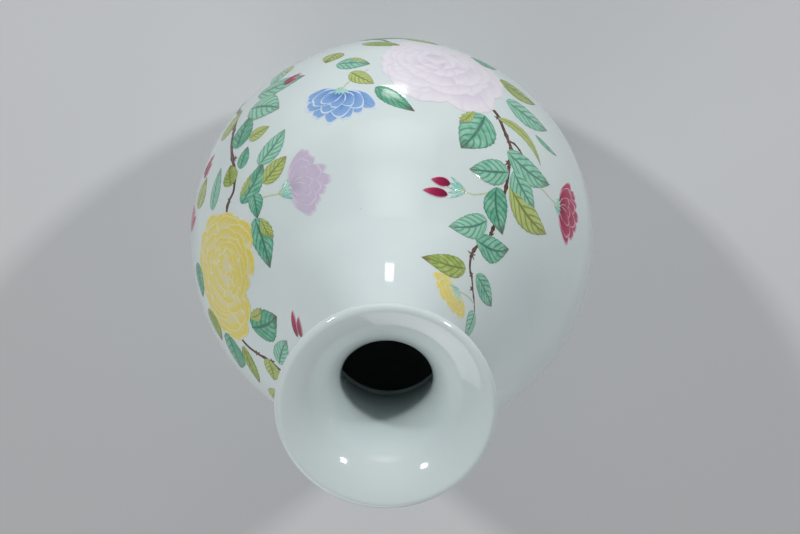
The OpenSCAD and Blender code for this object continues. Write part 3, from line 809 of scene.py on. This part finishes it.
def stroke_enamel(name, light, dark, grain):
    """Thin enamel laid with a pointed brush: lighter down the middle, dark and uneven at the edges."""
    material, tree, shader = surface(name, Roughness=0.2, IOR=1.52)
    place = add(tree, "TexCoord")["Object"]
    from_middle = brush_way(tree)[1]
    cloud = add(tree, "TexNoise", {"Vector": place, "Scale": per_mm(grain), "Detail": 3})[0]
    edge = add(tree, "Math", {0: from_middle, 1: 0.45}, operation="MULTIPLY")[0]
    uneven = add(tree, "Math", {0: cloud, 1: 0.8, 2: edge}, operation="MULTIPLY_ADD")[0]
    deep = add(tree, "MapRange", {0: uneven, 1: 0.3, 2: 0.75}, **SMOOTH)[0]
    colour = add(tree, "Mix", {0: deep, 6: linear(light), 7: linear(dark)}, **COLOUR)[2]
    tree.links.new(colour, shader.inputs["Base Color"])
    skin = add(tree, "TexNoise", {"Vector": place, "Scale": per_mm(grain / 2), "Detail": 3})[0]
    bump = add(tree, "Bump", {"Height": skin, "Distance": 0.05 * MM, "Strength": 0.6})[0]
    tree.links.new(bump, shader.inputs["Normal"])
    return material


def grey_paper():
    """Matt studio paper, a little uneven in its grey."""
    material, tree, shader = surface("matt_grey_paper", Roughness=0.9)
    place = add(tree, "TexCoord")["Object"]
    cloud = add(tree, "TexNoise", {"Vector": place, "Scale": per_mm(400), "Detail": 3})[0]
    colour = add(tree, "Mix", {0: cloud, 6: linear("#DCDDDE"), 7: linear("#D6D8DA")}, **COLOUR)[2]
    tree.links.new(colour, shader.inputs["Base Color"])
    return material


GLAZED = glazed_porcelain()
BISCUIT = bare_porcelain("biscuit_porcelain", "#EBE2D4", "#D8C9B2", 0.6)
BODY = bare_porcelain("fired_porcelain_body", "#EFEBE4", "#E4DED4", 1.2)
SLIPPED = bare_porcelain("fired_slip", "#E6DFD2", "#DBD2C3", 0.9)
GREEN = leaf_enamel("copper_green_enamel", "#5AAB89", "#9AD3BA", "#24594B", "#5B4C48")
LIME = leaf_enamel("yellow_green_enamel", "#8FA840", "#BCCB80", "#5A6A28", "#6E5034")
TURQUOISE = leaf_enamel("turquoise_enamel", "#8CCFC0", "#BFE5DA", "#6DB5A8", "#8CCFC0", veins=2, slant=0)
BROWN = stroke_enamel("umber_enamel", "#7E5A4A", "#432A22", 1.6)
STEM = stroke_enamel("pale_green_enamel", "#D2DCBC", "#B4C6A0", 2.2)
YELLOW = petal_enamel("lead_yellow_enamel", "#DCD6B4", "#E2D98C", "#E4D24E", "#EFEBD4", streak=0.6)
PINK = petal_enamel("pale_rose_enamel", "#D9CFDF", "#E6E0EA", "#EDE9F0", "#D8CEDF", outline=0.3, streak=0.3)
LILAC = petal_enamel("lilac_enamel", "#BDB1C8", "#CDC4D6", "#C9BED3", "#DED8E5", outline=0.6)
BLUE = petal_enamel("cobalt_blue_enamel", "#5580C0", "#78A2D8", "#8AB0DF", "#DCEAF6", outline=0.9)
RUBY = petal_enamel("gold_ruby_enamel", "#861540", "#A8234F", "#B53A63", "#E9C6D2", outline=0.7)

# The vase put together


def finished(piece, material, node):
    """A piece in its material, fixed to the vase, with its node's part hidden so that the piece takes its
    place.
    """
    piece.data.materials.clear()
    piece.data.materials.append(material)
    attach(piece, "root")
    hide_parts(node)


finished(outer_glaze(), GLAZED, "outer_glaze")
finished(inner_glaze(), GLAZED, "inner_glaze")
finished(foot_rim(), BISCUIT, "foot_ring")

for node, material in {
    "base_glaze": GLAZED, "lower_body": BODY, "upper_body": BODY, "neck": BODY,
    "foot_slip_joint": SLIPPED, "belly_slip_joint": SLIPPED, "neck_slip_joint": SLIPPED,
}.items():
    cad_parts[node].data.materials.clear()
    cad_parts[node].data.materials.append(material)

branches = [twig(points, wide, narrow, TWIG_SWELLING, dice.random()) for points, wide, narrow in TWIGS]
branches += [spur for row in KNOTS for spur in knot(*row)]
finished(fired("branch_strokes", branches), BROWN, "branch_enamel")

stems = [twig(points, STEM_WIDE, STEM_NARROW) for points in STEMS] + [cup(row) for row in CALYXES]
finished(fired("stem_strokes", stems), STEM, "stem_enamel")

finished(fired("green_leaves", leaves(GREEN_LEAVES)), GREEN, "green_leaf_enamel")

limes = leaves(LIME_LEAVES) + [fold(GREEN_LEAVES[row[0]], *row[1:], FOLD_TINT) for row in FOLDS]
finished(fired("lime_leaves", limes), LIME, "lime_leaf_enamel")

sepals = [sepal for row in CALYXES for sepal in calyx(row)]
finished(fired("calyx_sepals", sepals), TURQUOISE, "calyx_enamel")

yellow = full_flower(FULL_YELLOW, YELLOW_RINGS, YELLOW_HEART, seed=3) + side_flower(SIDE_YELLOW, seed=4)
finished(fired("yellow_petals", yellow), YELLOW, "yellow_flower_enamel")

pink = full_flower(FULL_PINK, PINK_RINGS, PINK_HEART, seed=5)
finished(fired("pink_petals", pink), PINK, "pink_flower_enamel")

lilac = side_flower(SIDE_LILAC, seed=6)
finished(fired("lilac_petals", lilac), LILAC, "lilac_flower_enamel")

blue = side_flower(SIDE_BLUE, seed=8)
finished(fired("blue_petals", blue), BLUE, "blue_flower_enamel")

ruby = [piece for k, row in enumerate(SIDE_RUBY) for piece in side_flower(row, seed=20 + k)]
ruby += [piece for row in RUBY_BUDS for piece in bud(row)]
finished(fired("ruby_petals", ruby), RUBY, "ruby_flower_enamel")

for grid in (LEAF_BLANK, PETAL_BLANK, STROKE_BLANK):
    bpy.data.objects.remove(grid)

# Stage, light and camera

FLOOR_SIZE = 24
bpy.ops.object.select_all(action="DESELECT")
bpy.ops.mesh.primitive_plane_add(size=FLOOR_SIZE)
floor = bpy.context.active_object
floor.name = "floor"
floor.data.materials.append(grey_paper())

AIM = Vector((0, 0, HEIGHT / 2 * MM))


def softbox(name, place, size, power, spread=180, aim=AIM):
    """A rectangular lamp, its place and size in metres and its power in watts, aimed at a point.
    A grid before it holds the light to a spread in degrees."""
    lamp = bpy.data.lights.new(name, "AREA")
    lamp.shape = "RECTANGLE"
    lamp.size, lamp.size_y = size
    lamp.energy = power
    lamp.spread = math.radians(spread)
    holder = bpy.data.objects.new(name, lamp)
    bpy.context.collection.objects.link(holder)
    holder.location = place
    holder.rotation_euler = (Vector(place) - aim).to_track_quat("Z", "Y").to_euler()


# Left and right are those of the camera's picture
softbox("left_softbox", (1.76, -1.76, 1.82), (0.24, 0.24), 28)
softbox("right_softbox", (-1.84, -1.78, 1.68), (0.24, 0.24), 28)
softbox("front_softbox", (0, -2.2, 0.5), (1.7, 1.0), 0.85, spread=54)
softbox("back_softbox", (0.9, 2.4, 1.0), (2.6, 1.8), 7.5, spread=80)
# A small lamp low before the vase, for its gleam on the belly
softbox("low_softbox", (0.005, -0.3, 0.035), (0.05, 0.05), 0.005, spread=50, aim=Vector((0.005, 0, 0.19)))

# A plain grey studio: the eye and the gloss see it at the grey of the floor far off, which it alone lights
STUDIO_LIGHT = 0.25
STUDIO_SEEN = 0.18
world = bpy.data.worlds.new("studio")
world.use_nodes = True
studio = world.node_tree
sky = studio.nodes["Background"]
sky.inputs["Color"].default_value = linear("#E8EBEE")
rays = add(studio, "LightPath")
gloss, glass = rays["Is Glossy Ray"], rays["Is Transmission Ray"]
seen = add(studio, "Math", {0: gloss, 1: glass}, operation="MAXIMUM")[0]
seen = add(studio, "Math", {0: rays["Is Camera Ray"], 1: seen}, operation="MAXIMUM")[0]
change = STUDIO_SEEN - STUDIO_LIGHT
strength = add(studio, "Math", {0: seen, 1: change, 2: STUDIO_LIGHT}, operation="MULTIPLY_ADD")[0]
studio.links.new(strength, sky.inputs["Strength"])
bpy.context.scene.world = world

# The camera looks into the mouth, a little off the axis. Pixels are those of an 800 by 534 picture.
PICTURE_W = 800
FOCAL_PX = 2507
SENSOR = 36
VIEW_DISTANCE = 1.1565
VIEW_TILT = math.radians(20.4)
VIEW_ROLL = math.radians(1.62)
BELLY_RIGHT_PX = -7.94
BELLY_DOWN_PX = -26.9

back = Vector((0, -math.sin(VIEW_TILT), math.cos(VIEW_TILT)))
level_right = Vector((-1, 0, 0))
level_up = back.cross(level_right)
right = level_right * math.cos(VIEW_ROLL) + level_up * math.sin(VIEW_ROLL)
up = back.cross(right)
pixel = VIEW_DISTANCE / FOCAL_PX
belly = Vector((0, 0, BELLY_Z * MM))
stand = belly + back * VIEW_DISTANCE - right * BELLY_RIGHT_PX * pixel + up * BELLY_DOWN_PX * pixel
lens = bpy.data.cameras.new("camera")
lens.sensor_width = SENSOR
lens.lens = FOCAL_PX / PICTURE_W * SENSOR
camera = bpy.data.objects.new("camera", lens)
bpy.context.collection.objects.link(camera)
camera.matrix_world = Matrix.Translation(stand) @ Matrix((right, up, back)).transposed().to_4x4()
bpy.context.scene.camera = camera
bpy.context.scene.view_settings.view_transform = "Standard"
